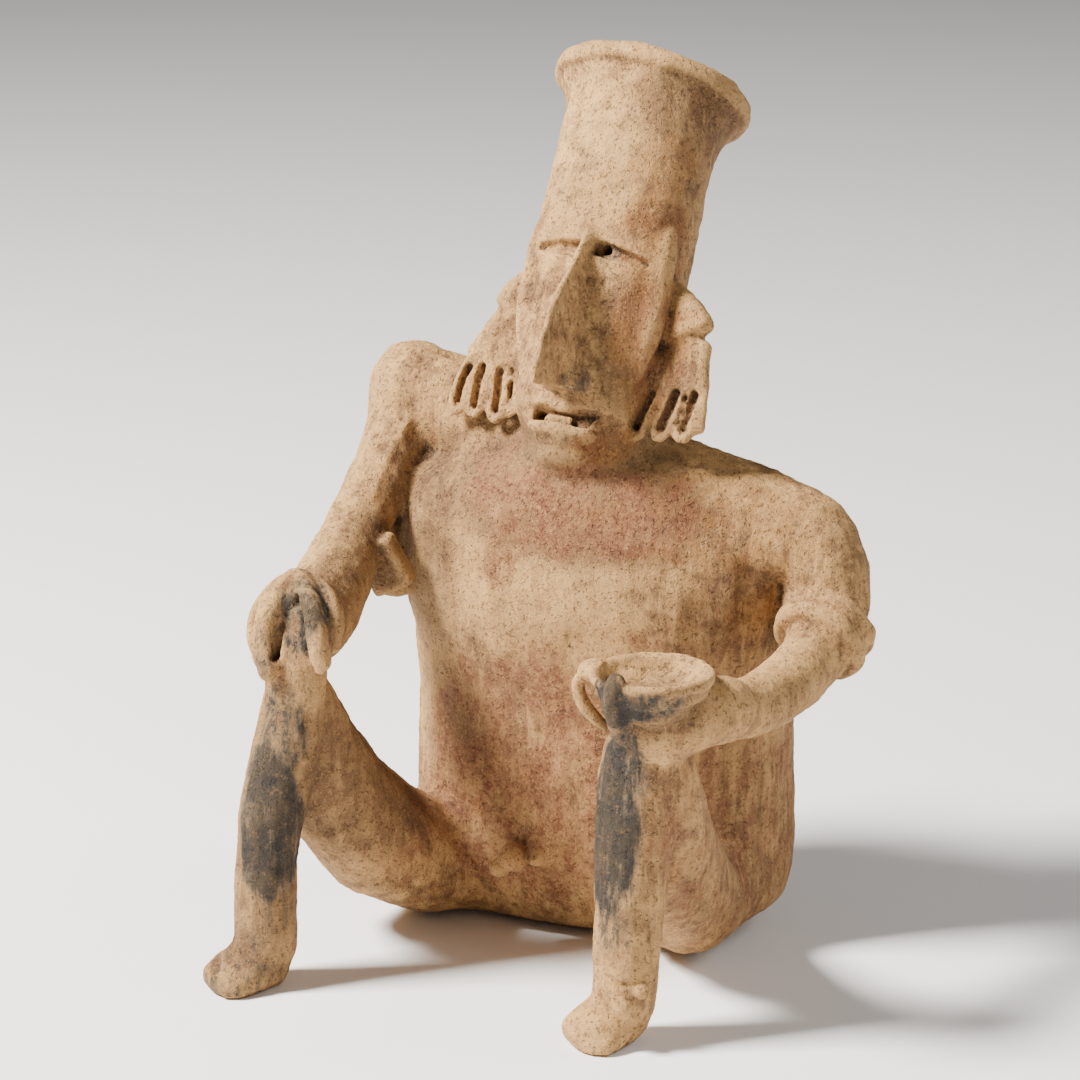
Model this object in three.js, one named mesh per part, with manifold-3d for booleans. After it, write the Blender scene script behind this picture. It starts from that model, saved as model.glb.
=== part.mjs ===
// A seated pottery figure: one hollow, hand-built, fired clay body.
//
// Millimetres, +Z up. The figure faces -Y, its own left arm is on the +X side.
// It sits with both knees raised, the right hand on the right knee and a small
// bowl held on the left knee, and wears a tall headdress that flares at the top.
import * as THREE from "three";
import { mergeVertices } from "three/addons/utils/BufferGeometryUtils.js";
import Module from "manifold-3d";

// Driving dimensions, in millimetres and degrees.
const FIGURE_HEIGHT = 377; // foot to the top of the headdress
const WALL = 6; // clay wall at the open mouths
const WELL_DEPTH = 48; // how far the headdress is open downwards
const HEAD_LEAN = 23.8; // degrees, the head leans back from upright
const RIM_LEAN = 12; // degrees, the headdress mouth leans back from the head
const RIM_SWAY = 4; // and a little towards the figure's left
const LIP = 4.2; // radius of the rolled lip of the headdress
const BOWL_RADIUS = 24.6; // outside of the bowl at its rim
const BOWL_HEIGHT = 17;
const BOWL_WALL = 3.6;
const STRANDS = 4; // doubled cords in each ear pendant
const BAND_RADIUS = 4.8; // half the height of each roll of the arm band

// The pose is laid out on a figure of this height: each point and half-width below
// is a share of it, and only the sizes above are millimetres of their own.
const LAYOUT_HEIGHT = 377;
const S = FIGURE_HEIGHT / LAYOUT_HEIGHT;
const CLAY = { color: 0xc9a27a, roughness: 0.86, metalness: 0 };

const wasm = await Module();
wasm.setup();

const rad = THREE.MathUtils.degToRad;
const vec = (p) => new THREE.Vector3(...p);
const mm = (p) => vec(p).multiplyScalar(S); // a point or size of the layout in millimetres
const AXIS = { x: vec([1, 0, 0]), y: vec([0, 1, 0]), z: vec([0, 0, 1]) };

// Tools that make a solid.

/** Turns a closed three.js geometry into a solid whose faces point outwards. */
function solid(geometry, matrix) {
  let bare = (geometry.index ? geometry.toNonIndexed() : geometry).clone();
  for (const key of Object.keys(bare.attributes)) {
    if (key !== "position") {
      bare.deleteAttribute(key);
    }
  }
  if (matrix) {
    bare.applyMatrix4(matrix);
  }
  bare = mergeVertices(bare, 1e-3);
  const at = bare.attributes.position;
  const a = new THREE.Vector3();
  const b = new THREE.Vector3();
  const c = new THREE.Vector3();
  const faces = [];
  let volume = 0;
  for (let i = 0; i < bare.index.count; i += 3) {
    const [p, q, r] = [0, 1, 2].map((k) => bare.index.getX(i + k));
    if (p !== q && q !== r && r !== p) {
      faces.push([p, q, r]);
      a.fromBufferAttribute(at, p);
      b.fromBufferAttribute(at, q);
      c.fromBufferAttribute(at, r);
      volume += a.dot(b.cross(c));
    }
  }
  const triVerts = new Uint32Array(
    faces.flatMap(([p, q, r]) => (volume > 0 ? [p, q, r] : [p, r, q])),
  );
  const vertProperties = at.array.slice(0, at.count * 3);
  return new wasm.Manifold(
    new wasm.Mesh({ numProp: 3, vertProperties, triVerts }),
  );
}

/** A smooth value through the stations, the curve's parameter running from 0 to 1. */
function track(values) {
  return new THREE.CatmullRomCurve3(values, false, "catmullrom", 0.5);
}

/**
 * A rolled clay form: a round-ended blank turned on a lathe, whose rings are then
 * laid along the stations. A station has its centre `at`, its half-widths
 * `half: [sideways, front, back]`, and `square`, 2 for an ellipse and more for a
 * boxier ring. `side` is the direction that stays sideways all the way along.
 */
function rolled(stations, options = {}) {
  const { around = 14, rings = 9, ends = 2, side = AXIS.x } = options;
  const { cap = [1, 1] } = options;
  const blank = [];
  for (let i = 0; i <= ends; i++) {
    const turn = (Math.PI / 2) * (i / ends);
    blank.push(new THREE.Vector2(Math.sin(turn), -Math.cos(turn)));
  }
  for (let i = 1; i < rings; i++) {
    blank.push(new THREE.Vector2(1, i / rings));
  }
  for (let i = ends; i >= 0; i--) {
    const turn = (Math.PI / 2) * (i / ends);
    blank.push(new THREE.Vector2(Math.sin(turn), 1 + Math.cos(turn)));
  }
  blank[0].x = 0;
  blank[blank.length - 1].x = 0;
  const form = new THREE.LatheGeometry(blank, around);
  const centre = track(stations.map((s) => mm(s.at)));
  const widths = track(
    stations.map(({ half }) => mm([half[0], half[1] ?? half[0], half[2] ?? half[1] ?? half[0]])),
  );
  const corners = track(stations.map((s) => vec([s.square ?? 2, 0, 0])));
  const spot = form.attributes.position;
  for (let i = 0; i < spot.count; i++) {
    const radius = Math.hypot(spot.getX(i), spot.getZ(i));
    const height = spot.getY(i);
    const angle = Math.atan2(spot.getZ(i), spot.getX(i));
    const t = THREE.MathUtils.clamp(height, 0, 1);
    const along = centre.getTangent(t);
    const across = side.clone().addScaledVector(along, -side.dot(along)).normalize();
    const front = across.clone().cross(along);
    const half = widths.getPoint(t);
    const power = 2 / corners.getPoint(t).x;
    const c = Math.cos(angle);
    const s = Math.sin(angle);
    const wide = Math.sign(c) * Math.abs(c) ** power * half.x;
    const deep = Math.sign(s) * Math.abs(s) ** power * (s > 0 ? half.y : half.z);
    const point = centre
      .getPoint(t)
      .addScaledVector(across, wide * radius)
      .addScaledVector(front, deep * radius);
    const past = height < 0 ? height * cap[0] : Math.max(height - 1, 0) * cap[1];
    const reach = Math.min(half.x, half.y);
    point.addScaledVector(along, past * reach);
    spot.setXYZ(i, point.x, point.y, point.z);
  }
  return solid(form);
}

/** A box with its middle at a point, turned about X, then Y, then Z (degrees). */
function block(size, at, turn = [0, 0, 0]) {
  const matrix = new THREE.Matrix4().compose(
    mm(at),
    new THREE.Quaternion().setFromEuler(new THREE.Euler(...turn.map(rad), "XYZ")),
    mm(size),
  );
  return solid(new THREE.BoxGeometry(1, 1, 1), matrix);
}

/** An egg shape with three half-axes. */
function egg(half, at, turn = [0, 0, 0], around = 11) {
  const matrix = new THREE.Matrix4().compose(
    mm(at),
    new THREE.Quaternion().setFromEuler(new THREE.Euler(...turn.map(rad), "XYZ")),
    mm(half),
  );
  return solid(new THREE.SphereGeometry(1, around, Math.max(4, Math.round(around / 2))), matrix);
}

/** A ring of clay: its radius, the radius of its roll in millimetres, the way its axis points. */
function ring(radius, roll, at, axis, around = 14, section = 5) {
  const matrix = new THREE.Matrix4().compose(
    mm(at),
    new THREE.Quaternion().setFromUnitVectors(AXIS.z, vec(axis).normalize()),
    new THREE.Vector3(1, 1, 1),
  );
  return solid(new THREE.TorusGeometry(radius * S, roll, section, around), matrix);
}

const join = (list) => list.reduce((all, one) => all.add(one));

/** Moves a solid by a matrix. */
function placed(body, matrix) {
  return solid(geometryOf(body), matrix);
}

/** The three.js geometry of a solid. */
function geometryOf(body) {
  const mesh = body.getMesh();
  const points = new Float32Array((mesh.vertProperties.length / mesh.numProp) * 3);
  for (let i = 0; i < points.length / 3; i++) {
    for (let k = 0; k < 3; k++) {
      points[i * 3 + k] = mesh.vertProperties[i * mesh.numProp + k];
    }
  }
  const geometry = new THREE.BufferGeometry();
  geometry.setAttribute("position", new THREE.BufferAttribute(points, 3));
  geometry.setIndex([...mesh.triVerts]);
  return geometry;
}

// Torso and shoulders.
const torso = rolled(
  [
    { at: [-4, 10, 7], half: [77.5, 42, 46], square: 2.6 },
    { at: [-5, 10, 26], half: [82, 48, 53], square: 2.6 },
    { at: [-5.5, 9, 60], half: [82.5, 48, 53], square: 2.5 },
    { at: [-5, 9, 95], half: [82.5, 48, 49], square: 2.4 },
    { at: [-5, 9, 128], half: [84, 52, 46], square: 2.4 },
    { at: [-5, 8, 158], half: [91, 55, 44], square: 2.3 },
    { at: [-2, 6, 182], half: [88, 50, 40], square: 2.2 },
    { at: [0, 4, 200], half: [60, 40, 34], square: 2 },
  ],
  { around: 22, rings: 9, ends: 2, cap: [0.22, 0.35] },
);
const shoulders = rolled(
  [
    { at: [-86, 8, 218], half: [20, 20] },
    { at: [-68, 7, 210], half: [22, 23] },
    { at: [-34, 4, 197], half: [27, 26] },
    { at: [10, 2, 189], half: [30, 25] },
    { at: [50, 3, 183], half: [27, 24.5] },
    { at: [84, 4, 174], half: [24, 22] },
  ],
  { around: 14, rings: 7, ends: 2, side: AXIS.y },
);
const neck = rolled(
  [
    { at: [-4, 0, 186], half: [44, 34] },
    { at: [-4, -8, 203], half: [30, 25] },
    { at: [-4, -10, 222], half: [26, 22] },
  ],
  { around: 14, rings: 3, ends: 1, cap: [0.3, 0.3] },
);

// Right arm: a raised knob of a shoulder, and a straight arm down to the knee.
const rightArm = rolled(
  [
    { at: [-93, 8, 220], half: [20.5, 20.5] },
    { at: [-93.5, 0, 205], half: [17.6, 18] },
    { at: [-95, -18, 188], half: [13.5, 14] },
    { at: [-95.5, -44, 168], half: [13.8, 13.5] },
    { at: [-91.5, -72, 151], half: [16.5, 17.5] },
    { at: [-87, -98, 144], half: [16, 18.5] },
  ],
  { around: 12, rings: 8, side: AXIS.x },
);
// A short tab of clay hangs in the armpit, clear of the torso at its lower end.
const tab = rolled(
  [
    { at: [-88, -20, 165], half: [9, 4.5] },
    { at: [-85.5, -25, 151], half: [10.5, 4] },
    { at: [-83, -29, 140], half: [9.5, 4.5] },
  ],
  { around: 10, rings: 3, ends: 1, cap: [1, 0.8] },
);
const rightPalm = egg([17, 18, 19.5], [-86, -106, 148]);
const rightKneecap = egg([13.5, 14, 16], [-83, -114, 137]);
// Two thick fingers part over the kneecap, a thin one lies outside each of them.
const FINGERS = [
  [[-96, -104, 163], [-101, -113, 153], [-101, -118, 142], [-95, -122, 133]],
  [[-88, -107, 165], [-90.5, -121, 157], [-91, -127, 145], [-87, -130, 132]],
  [[-86, -107, 165], [-74.5, -120, 160], [-68, -126, 149], [-65.5, -127, 137]],
  [[-82, -103, 165], [-71, -111, 159], [-66, -116, 151], [-65.5, -118, 142]],
];
const rightFingers = FINGERS.map((points, i) =>
  rolled(
    points.map((at) => ({ at, half: i === 1 || i === 2 ? [5.2, 5.2] : [3.6, 3.6] })),
    { around: 8, rings: 5, ends: 1, side: AXIS.x },
  ),
);

// Left arm: bent, with a band of two rolls at the elbow.
const leftArm = rolled(
  [
    { at: [84, 5, 178], half: [20, 21] },
    { at: [95, 2, 167], half: [19, 21] },
    { at: [101, -4, 151], half: [16.5, 19] },
    { at: [102.5, -18, 138], half: [14, 15] },
    { at: [101, -40, 131], half: [13, 13.5] },
    { at: [99, -70, 129], half: [12, 12.5] },
    { at: [90, -98, 131], half: [12, 13] },
  ],
  { around: 12, rings: 9, side: AXIS.x },
);
const band = [
  ring(16, BAND_RADIUS, [102, -9, 144.5], [-0.1, -0.78, -0.5]),
  ring(16, BAND_RADIUS, [101.5, -16, 140.5], [-0.12, -0.82, -0.44]),
  egg([4.5, 5, 5], [118.5, -10, 143]),
];
const bowlCentre = [74, -118, 151];
const leftPalm = rolled(
  [
    { at: [94, -94, 133], half: [12, 13] },
    { at: [87, -108, 132], half: [12, 13] },
    { at: [76, -116, 128], half: [14, 14] },
  ],
  { around: 9, rings: 3, ends: 2 },
);
// The bowl is gripped by one finger in front, and its rim is drawn out on the
// figure's right into a small beak, with a strip of clay looping down from it.
const leftFingers = [
  { half: 4.3, points: [[69, -140, 152.5], [67, -138, 145], [65, -130, 134], [64, -122, 123]] },
  { half: 2.7, points: [[49, -119, 150.5], [43.5, -120, 144], [45.5, -118, 134], [53, -114, 125]] },
].map(({ half, points }) =>
  rolled(
    points.map((at) => ({ at, half: [half, half] })),
    { around: 8, rings: 5, ends: 1, side: AXIS.x },
  ),
);
const beak = egg([9, 9, 4.6], [52, -117, 148.5], [0, 12, 0]);

// Legs.
const rightThigh = rolled(
  [
    { at: [-60, -12, 26], half: [30, 26] },
    { at: [-72, -36, 28], half: [26.5, 25] },
    { at: [-82, -70, 53], half: [24, 26] },
    { at: [-85, -98, 90], half: [19.5, 21] },
    { at: [-84, -111, 116], half: [15, 15] },
  ],
  { around: 13, rings: 5, ends: 2, side: AXIS.x },
);
const rightShin = rolled(
  [
    { at: [-83.5, -114, 118], half: [14.5, 14.5] },
    { at: [-86, -119, 98], half: [14.5, 14.5] },
    { at: [-91, -125, 70], half: [13.5, 13.5] },
    { at: [-92, -128, 42], half: [13, 13] },
    { at: [-92, -129, 14], half: [13, 14] },
  ],
  { around: 12, rings: 6, ends: 2, side: AXIS.x },
);
const leftThigh = rolled(
  [
    { at: [46, -18, 28], half: [30, 27] },
    { at: [53, -38, 31], half: [23, 24] },
    { at: [63.5, -72, 59], half: [18.5, 22] },
    { at: [69, -97, 90], half: [18, 19] },
    { at: [68, -106, 112], half: [17, 16] },
  ],
  { around: 13, rings: 5, ends: 2, side: AXIS.x },
);
const leftShin = rolled(
  [
    { at: [67, -108, 116], half: [17.5, 16.5] },
    { at: [65.5, -112, 96], half: [16.8, 15.5] },
    { at: [65, -116, 68], half: [15, 14.5] },
    { at: [65, -119, 40], half: [14, 13.5] },
    { at: [64, -121, 14], half: [13, 14] },
  ],
  { around: 12, rings: 6, ends: 2, side: AXIS.x },
);
/** A foot: short, thick, worn round at the toes, flat below. */
function foot(heel, toe, width) {
  const mid = heel.map((v, k) => (v + toe[k]) / 2);
  return rolled(
    [
      { at: [heel[0], heel[1], 9], half: [width * 0.82, 12, 12] },
      { at: [mid[0], mid[1], 7.5], half: [width * 0.95, 11, 11] },
      { at: [toe[0], toe[1], 4], half: [width, 7.5, 8] },
    ],
    { around: 14, rings: 4, ends: 2, side: AXIS.x, cap: [0.6, 0.9] },
  );
}
const feet = [foot([-91, -127], [-103, -145.5], 13.5), foot([62, -118], [54, -134.5], 14.6)];
const feetMarks = [egg([4.5, 4, 5], [70, -134, 19])];

// Loins.
const loins = rolled(
  [
    { at: [-12, -36, 40], half: [9, 8] },
    { at: [-12, -46, 38], half: [5.5, 5.5] },
    { at: [-12, -51, 38], half: [3.5, 3.5] },
  ],
  { around: 8, rings: 3, ends: 2 },
);

// Head, laid out upright in a frame of its own: +Z along the head, the face to -Y.
const HEAD_LINE = [-12.5, 0, 26, 52, 78, 102, 114, 124, 132, 138, 143, 146]; // along the head
const HEAD_BACK = [-9, -1, 0, 0, 0, 0.6, 2, 4.2, 6.6, 8.6, 10.4, 11.5]; // bend of its middle line
const HEAD_HALF = [
  [16, 16, 15],
  [26.5, 24, 23],
  [29, 25, 25],
  [30.3, 25.5, 26],
  [31.2, 26, 26.5],
  [31.5, 26.5, 26.5],
  [31.9, 27, 27],
  [32.6, 28, 28],
  [34.2, 29.6, 29.6],
  [36.8, 32, 32],
  [40.2, 35, 35],
  [42.4, 37.2, 37.2],
];
const skull = rolled(
  HEAD_LINE.map((z, i) => ({
    at: [0, HEAD_BACK[i], z],
    half: HEAD_HALF[i],
    square: [2, 2.5, 3, 3.2, 2.9, 2.4][i] ?? 2.15,
  })),
  { around: 22, rings: 13, ends: 2, cap: [0.5, 0.02] },
);

// The mouth of the headdress ends in a thick rolled lip.
const LIP_HALF = [39.4, 34.2]; // middle of the roll, sideways and front to back
const LIP_CENTRE = [-0.6, 11.5, 145];
const lip = (() => {
  const form = new THREE.TorusGeometry(1, 1, 6, 22);
  const spot = form.attributes.position;
  for (let i = 0; i < spot.count; i++) {
    const angle = Math.atan2(spot.getY(i), spot.getX(i));
    const out = (Math.hypot(spot.getX(i), spot.getY(i)) - 1) * LIP;
    const local = new THREE.Vector3(
      Math.cos(angle) * (LIP_HALF[0] * S + out),
      Math.sin(angle) * (LIP_HALF[1] * S + out),
      spot.getZ(i) * LIP,
    );
    local.applyAxisAngle(AXIS.x, -rad(RIM_LEAN));
    local.applyAxisAngle(AXIS.y, rad(RIM_SWAY));
    local.add(mm(LIP_CENTRE));
    spot.setXYZ(i, ...local.toArray());
  }
  return solid(form);
})();
/** Half-widths and bend of the head at a height of its line, between its stations. */
function headAt(height) {
  const above = Math.max(1, HEAD_LINE.findIndex((z) => z >= height));
  const share = (height - HEAD_LINE[above - 1]) / (HEAD_LINE[above] - HEAD_LINE[above - 1]);
  const between = (a, b) => THREE.MathUtils.lerp(a, b, share);
  return {
    back: between(HEAD_BACK[above - 1], HEAD_BACK[above]),
    half: HEAD_HALF[above].map((h, k) => between(HEAD_HALF[above - 1][k], h)),
  };
}

// The headdress is open at the top: a blind well leaves a wall all round.
const HEAD_TOP = HEAD_LINE[HEAD_LINE.length - 1];
const wellStations = [1, 0.7, 0.45, 0.2, 0].map((share, i) => {
  const height = HEAD_TOP - (WELL_DEPTH / S) * share;
  const { back, half } = headAt(height);
  const narrow = i === 0 ? 0.7 : 1;
  return { at: [0, back, height], half: half.map((h) => (h - WALL / S) * narrow) };
});
const mouth = wellStations[wellStations.length - 1];
wellStations.push({ at: [0, mouth.at[1] + 5, HEAD_TOP + 14], half: mouth.half });
const well = rolled(wellStations, { around: 16, rings: 5, ends: 1, cap: [0.6, 0.2] });

// The face: a long blade of a nose, slit eyes under a straight brow, an open oblong
// mouth. Every feature sits at a plain share of the height from jaw to brow.
const BROW = 78;
const NOSE_BASE = 0.15 * BROW;
const nose = rolled(
  [
    { at: [0, -24, NOSE_BASE + 2], half: [13, 34, 4], square: 1.5 },
    { at: [0, -24, 0.4 * BROW], half: [11.5, 31, 4], square: 1.5 },
    { at: [0, -24, 0.66 * BROW], half: [8.5, 22, 4], square: 1.5 },
    { at: [0, -24, 0.86 * BROW], half: [5.5, 11, 4], square: 1.5 },
    { at: [0, -24, 1.02 * BROW], half: [3.5, 3, 4], square: 2 },
  ],
  { around: 12, rings: 7, ends: 1, cap: [0.18, 0.5] },
);
const faceMarks = [];
for (const way of [-1, 1]) {
  // eye slit, deepest next to the nose, under an overhanging brow
  faceMarks.push(block([22, 10, 4.8], [way * 16.5, -26.6, 0.95 * BROW], [18, 0, way * 8]));
  faceMarks.push(egg([3, 7, 2.6], [way * 6.6, -25, 0.955 * BROW], [0, 0, 0], 6));
  // nostril
  faceMarks.push(egg([2.8, 4.5, 4.5], [way * 6.5, -38, NOSE_BASE - 1], [30, 0, 0], 6));
}
const MOUTH = [27, 9.5]; // width and height of the mouth
const mouthHole = block([MOUTH[0], 20, MOUTH[1]], [1, -27, 0.02 * BROW]);
const teeth = block([13, 8, 6.6], [0, -19, 0.02 * BROW]);
const lids = [-1, 1].map((way) =>
  rolled(
    [
      { at: [way * 6, -25.4, 0.9 * BROW], half: [2.2, 2.2] },
      { at: [way * 16, -24.6, 0.895 * BROW], half: [2.2, 2.2] },
      { at: [way * 26, -20, 0.9 * BROW], half: [1.6, 1.8] },
    ],
    { around: 6, rings: 2, ends: 1, side: AXIS.y },
  ),
);
const lowerLip = rolled(
  [
    { at: [-12, -20.5, -4.8], half: [2.2, 3] },
    { at: [2, -23, -5.4], half: [2.4, 3] },
    { at: [15, -19.5, -4.4], half: [2.2, 3] },
  ],
  { around: 6, rings: 2, ends: 1, side: AXIS.y },
);

/** An ear with its pendant: a cap of clay, then doubled cords that fan out downwards. */
function pendant(way) {
  const parts = [
    rolled(
      [
        { at: [way * 30, -3, 58], half: [4, 5] },
        { at: [way * (34 + 1.5 * way), -4, 51], half: [8, 6.5] },
        { at: [way * (37 + 2 * way), -5, 43], half: [9.5, 6.5] },
      ],
      { around: 10, rings: 3, ends: 1 },
    ),
    rolled(
      [
        { at: [way * (38 + 1.8 * way), -4.5, 42], half: [8.5, 4.2] },
        { at: [way * (40 + 1.8 * way), -4, 31], half: [11, 3.8] },
        { at: [way * (41 + 1.8 * way), -4, 21], half: [12.5, 3] },
      ],
      { around: 10, rings: 3, ends: 1, cap: [0.4, 0.3] },
    ),
  ];
  for (let k = 0; k < STRANDS; k++) {
    const share = k / (STRANDS - 1) - 0.5;
    for (const half of [-1, 1]) {
      const out = (spread, open) => way * (40 + 1.8 * way + share * spread + half * open);
      parts.push(
        rolled(
          [
            { at: [out(15, 1.3), -6.6, 33], half: [1.9, 2.2] },
            { at: [out(20.5, 2.3), -5.6, 17], half: [1.8, 2.6] },
            { at: [out(22.5, 1.3), -5, 2 + 3 * Math.abs(share)], half: [1.9, 2.8] },
          ],
          { around: 5, rings: 2, ends: 1 },
        ),
      );
    }
  }
  return join(parts);
}

const headFrame = new THREE.Matrix4()
  .makeTranslation(...mm([-4, -16, 215]))
  .multiply(new THREE.Matrix4().makeRotationX(-rad(HEAD_LEAN)));
let head = join([skull, lip, nose]);
head = head.subtract(join([well, ...faceMarks, mouthHole]));
head = join([head, teeth, lowerLip, ...lids, pendant(-1), pendant(1)]);

// Bowl: a turned cup with a round bottom.
const lipIn = BOWL_RADIUS - BOWL_WALL;
const bowlProfile = (corners) =>
  corners.map(([r, z]) => new THREE.Vector2(r, z * BOWL_HEIGHT));
const bowlOutside = bowlProfile([
  [0, -1],
  [0.53 * BOWL_RADIUS, -1],
  [0.65 * BOWL_RADIUS, -0.82],
  [0.75 * BOWL_RADIUS, -0.56],
  [0.88 * BOWL_RADIUS, -0.44],
  [0.93 * BOWL_RADIUS, -0.2],
  [BOWL_RADIUS, -0.09],
  [0.99 * BOWL_RADIUS, 0.07],
]);
const bowlHollow = bowlProfile([
  [lipIn, 0.07],
  [0.86 * lipIn, -0.2],
  [0.62 * lipIn, -0.38],
  [0.29 * lipIn, -0.47],
  [0, -0.49],
]);
const bowlAbove = bowlProfile([
  [0, 1.8],
  [lipIn, 1.8],
]);
const upright = new THREE.Matrix4()
  .makeTranslation(...mm(bowlCentre))
  .multiply(new THREE.Matrix4().makeRotationX(Math.PI / 2));
const bowlForm = new THREE.LatheGeometry([...bowlOutside, ...bowlHollow], 18);
const bowl = solid(bowlForm, upright);
const spaceForm = new THREE.LatheGeometry([...bowlHollow.toReversed(), ...bowlAbove.toReversed()], 18);
const bowlInside = solid(spaceForm, upright);

// Everything joined, and cut flat where it stands.
let figure = join([
  torso,
  shoulders,
  neck,
  placed(head, headFrame),
  rightArm,
  tab,
  rightPalm,
  rightKneecap,
  ...rightFingers,
  leftArm,
  ...band,
  leftPalm,
  ...leftFingers,
  beak,
  rightThigh,
  rightShin,
  leftThigh,
  leftShin,
  ...feet,
  ...feetMarks,
  loins,
]);
figure = figure.subtract(bowlInside).add(bowl);
const BELOW = 100; // thickness of the block that takes off what reaches below the floor
figure = figure.subtract(block([600, 600, BELOW], [0, 0, -BELOW / 2]));
// Pockets shut in between joined forms are clay too.
figure = join(figure.decompose().filter((body) => body.volume() > 0));

const geometry = geometryOf(figure);
geometry.computeBoundingBox();
const box = geometry.boundingBox;
// The origin is the middle of the footprint, on the surface it stands on.
geometry.translate(-(box.min.x + box.max.x) / 2, -(box.min.y + box.max.y) / 2, -box.min.z);
geometry.computeVertexNormals();

const seatedFigure = new THREE.Mesh(geometry, new THREE.MeshStandardMaterial(CLAY));
seatedFigure.name = "seated_figure";

const part = new THREE.Group();
part.add(seatedFigure);
export default part;
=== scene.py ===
# %% [markdown]
# # A seated pottery figure
# The real object is one hollow, hand-built body of fired clay. It is shaped from coils and
# slabs, pinched, cut and scraped while damp, then burnished, fired and buried for centuries.
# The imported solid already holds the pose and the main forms. This lesson dresses it: it turns
# the faceted solid into soft clay, models the small hand-made forms, joins it all into one
# skin as a potter would, and then colours that skin. The frame is loaded first, and its box
# is kept, because nothing below may grow out of it.

# %% Load the frame
import math

import bmesh
import bpy
import numpy as np
from mathutils import Euler, Matrix, Vector


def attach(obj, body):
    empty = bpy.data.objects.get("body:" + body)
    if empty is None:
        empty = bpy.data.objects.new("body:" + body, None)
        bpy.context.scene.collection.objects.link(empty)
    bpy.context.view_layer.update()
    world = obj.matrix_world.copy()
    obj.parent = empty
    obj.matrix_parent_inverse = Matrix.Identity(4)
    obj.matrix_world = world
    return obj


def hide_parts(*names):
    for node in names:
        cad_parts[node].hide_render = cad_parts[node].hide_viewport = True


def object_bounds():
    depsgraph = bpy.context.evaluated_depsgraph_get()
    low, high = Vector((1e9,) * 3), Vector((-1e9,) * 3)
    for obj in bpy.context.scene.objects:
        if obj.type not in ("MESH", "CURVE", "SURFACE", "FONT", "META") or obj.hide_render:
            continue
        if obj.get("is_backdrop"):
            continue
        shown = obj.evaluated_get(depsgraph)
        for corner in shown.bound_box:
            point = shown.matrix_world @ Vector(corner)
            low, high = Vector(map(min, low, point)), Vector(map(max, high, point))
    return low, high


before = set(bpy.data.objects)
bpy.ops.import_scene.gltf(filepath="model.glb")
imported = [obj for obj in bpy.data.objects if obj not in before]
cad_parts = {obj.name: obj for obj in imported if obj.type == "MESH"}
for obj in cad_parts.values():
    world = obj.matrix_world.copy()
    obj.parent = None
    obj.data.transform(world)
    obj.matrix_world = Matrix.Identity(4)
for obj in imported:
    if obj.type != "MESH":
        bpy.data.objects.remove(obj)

CAD_LOW, CAD_HIGH = (Vector(corner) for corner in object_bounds())
print("solid from", CAD_LOW, "to", CAD_HIGH)

# %% [markdown]
# ## One set of measures
# Points are easiest to think of in millimetres from a mark on the ground between the feet,
# with the figure facing -Y and its own left on the +X side. The mark's place and the size of
# one millimetre are taken from the solid's box, so the details stay on the solid. The head
# leans back, so it gets a frame of its own in which it stands upright.

# %% Measures
TALL = 369.8  # the figure's height in the measures below
UNIT = (CAD_HIGH.z - CAD_LOW.z) / TALL
FROM_LEFT, FROM_FRONT = 114.3, 154.3  # the mark's distance from the box's two sides
MARK = Vector((CAD_LOW.x + FROM_LEFT * UNIT, CAD_LOW.y + FROM_FRONT * UNIT, CAD_LOW.z))
GROUND = Matrix.Translation(MARK) @ Matrix.Diagonal((UNIT, UNIT, UNIT, 1))
HEAD_FOOT, HEAD_LEAN = (-4, -16, 215), math.radians(23.8)
HEAD = Matrix.Translation(HEAD_FOOT) @ Matrix.Rotation(-HEAD_LEAN, 4, "X")


def spot(x, y, z):
    """A point in metres from millimetres off the mark."""
    return GROUND @ Vector((x, y, z))


print("one millimetre is", round(UNIT, 7), "m; the mark is at", spot(0, 0, 0))

# %% [markdown]
# ## Camera, floor and light
# A long lens from a little above, to the figure's left, flattens the perspective as a
# product photograph does. The floor is plain and pale. One soft light high on the left
# models the forms, a broad and weak one on the right keeps the shadows readable, and a third,
# behind on the right, draws a pale edge along the back of the arm and the headdress.

# %% Camera and floor
lens = bpy.data.cameras.new("studio_lens")
lens.lens = 136
lens.sensor_width = 36
lens.clip_end = 20
camera = bpy.data.objects.new("studio_camera", lens)
bpy.context.collection.objects.link(camera)
camera.location = spot(687.6, -1473.8, 616.4)
aim = spot(-30.5, -1.4, 162.2) - camera.location
camera.rotation_euler = aim.to_track_quat("-Z", "Y").to_euler()
bpy.context.scene.camera = camera
print("camera at", camera.location, "looking along", aim.normalized())

# %% Floor, sky and lights
FLOOR_SIZE = 12


def plain_material(name, colour, roughness):
    """A plain material for what isn't part of the object."""
    made = bpy.data.materials.new(name)
    made.use_nodes = True
    shader = made.node_tree.nodes["Principled BSDF"]
    shader.inputs["Base Color"].default_value = (*colour, 1)
    shader.inputs["Roughness"].default_value = roughness
    return made


floor_mesh = bpy.data.meshes.new("studio_floor")
bm = bmesh.new()
bmesh.ops.create_grid(bm, x_segments=1, y_segments=1, size=FLOOR_SIZE / 2)
bm.to_mesh(floor_mesh)
bm.free()
floor = bpy.data.objects.new("studio_floor", floor_mesh)
bpy.context.collection.objects.link(floor)
floor.data.materials.append(plain_material("pale_floor", (0.93, 0.93, 0.93), 0.8))
floor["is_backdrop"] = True

sky = bpy.data.worlds.new("studio_sky")
sky.use_nodes = True
sky.node_tree.nodes["Background"].inputs["Color"].default_value = (0.93, 0.96, 1.0, 1)
sky.node_tree.nodes["Background"].inputs["Strength"].default_value = 0.11
bpy.context.scene.world = sky


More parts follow.
